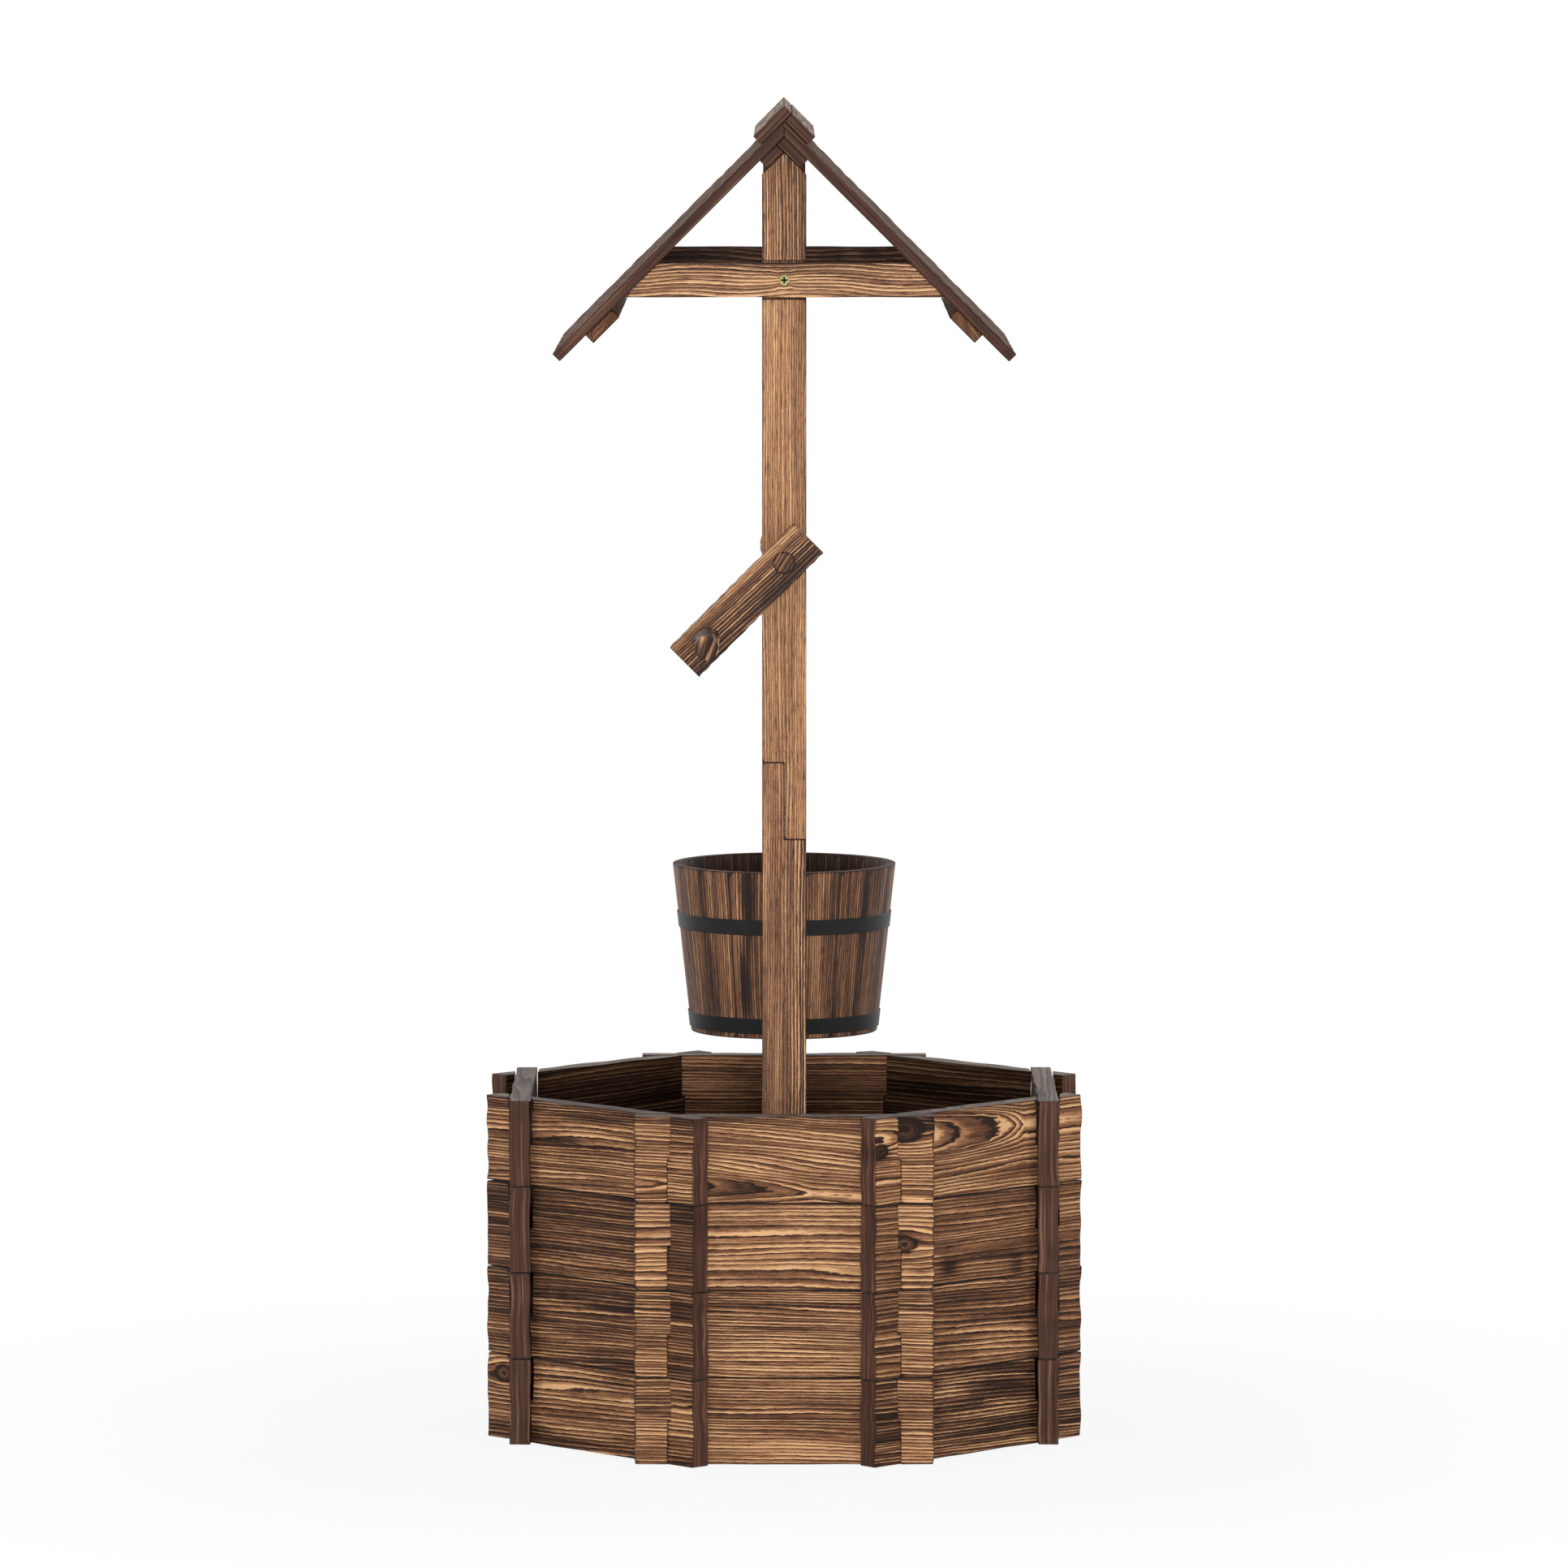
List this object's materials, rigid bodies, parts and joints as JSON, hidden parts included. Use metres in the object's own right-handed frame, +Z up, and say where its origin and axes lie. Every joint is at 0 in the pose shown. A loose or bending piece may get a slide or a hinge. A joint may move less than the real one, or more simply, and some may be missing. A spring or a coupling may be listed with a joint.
{
  "type": "wishing well planter",
  "caption": "Wooden wishing well planter: an eight-sided half-lapped plank tub, two posts with a gable roof, and a crank that raises a stave bucket on a rope.",
  "frame": {"origin": "centre of the eight-sided tub, on the ground it stands on", "axes": "+Z up, +Y to the rear (the crank arm is at the front, -Y), +X to the right seen from the front"},
  "size_m": [0.5374, 0.6267, 1.2017],
  "materials": {
    "plank_wood": "brushed and charred softwood, matt",
    "floor_wood": "charred softwood, matt",
    "post_wood": "brushed and charred softwood, matt",
    "roof_wood": "charred softwood, matt",
    "bucket_wood": "brushed and charred softwood, matt",
    "hoop_steel": "black, satin",
    "yellow_zinc": "yellow passivated zinc, satin",
    "rope": "twisted hemp"
  },
  "bodies": {
    "frame": {"front_plank_1": "plank_wood", "front_plank_2": "plank_wood", "front_plank_3": "plank_wood", "front_plank_4": "plank_wood", "front_right_plank_1": "plank_wood", "front_right_plank_2": "plank_wood", "front_right_plank_3": "plank_wood", "front_right_plank_4": "plank_wood", "right_plank_1": "plank_wood", "right_plank_2": "plank_wood", "right_plank_3": "plank_wood", "right_plank_4": "plank_wood", "rear_right_plank_1": "plank_wood", "rear_right_plank_2": "plank_wood", "rear_right_plank_3": "plank_wood", "rear_right_plank_4": "plank_wood", "rear_plank_1": "plank_wood", "rear_plank_2": "plank_wood", "rear_plank_3": "plank_wood", "rear_plank_4": "plank_wood", "rear_left_plank_1": "plank_wood", "rear_left_plank_2": "plank_wood", "rear_left_plank_3": "plank_wood", "rear_left_plank_4": "plank_wood", "left_plank_1": "plank_wood", "left_plank_2": "plank_wood", "left_plank_3": "plank_wood", "left_plank_4": "plank_wood", "front_left_plank_1": "plank_wood", "front_left_plank_2": "plank_wood", "front_left_plank_3": "plank_wood", "front_left_plank_4": "plank_wood", "floor_board_1": "floor_wood", "floor_board_2": "floor_wood", "floor_board_3": "floor_wood", "floor_board_4": "floor_wood", "floor_board_5": "floor_wood", "floor_tie": "floor_wood", "front_post_lower": "post_wood", "front_post_upper": "post_wood", "front_crossbar": "post_wood", "rear_post_lower": "post_wood", "rear_post_upper": "post_wood", "rear_crossbar": "post_wood", "front_crossbar_screw": "yellow_zinc", "rear_crossbar_screw": "yellow_zinc", "roof_right": "roof_wood", "roof_left": "roof_wood", "ridge_cap_left": "roof_wood", "ridge_cap_right": "roof_wood"},
    "windlass": {"axle": "post_wood", "crank_arm": "post_wood", "crank_handle": "post_wood", "rope_winding": "rope"},
    "hanging_rope": {"hoist_rope": "rope"},
    "bail": {"bucket_bail": "rope"},
    "bucket": {"bucket_staves": "bucket_wood", "bucket_bottom": "bucket_wood", "bucket_hoop_lower": "hoop_steel", "bucket_hoop_upper": "hoop_steel"}
  },
  "joints": [
    {"name": "crank_turn", "type": "hinge", "parent": "frame", "child": "windlass", "pos_m": [0, 0, 0.8007], "axis": [0, 1, 0], "range_deg": [0, 390]},
    {"name": "rope_swing", "type": "hinge", "parent": "frame", "child": "hanging_rope", "pos_m": [0, 0, 0.7885], "axis": [0, 1, 0], "range_deg": [-15, 15]},
    {"name": "bucket_lift", "type": "slide", "parent": "hanging_rope", "child": "bail", "axis": [0, 0, 1], "range_m": [0, 0.13], "deforming": ["hoist_rope"]},
    {"name": "bucket_tip", "type": "hinge", "parent": "bail", "child": "bucket", "pos_m": [0, 0, 0.4966], "axis": [0, 1, 0], "range_deg": [-35, 35]}
  ],
  "couplings": [
    {"joint": "bucket_lift", "follows": "crank_turn", "m_per_rad": 0.019}
  ]
}
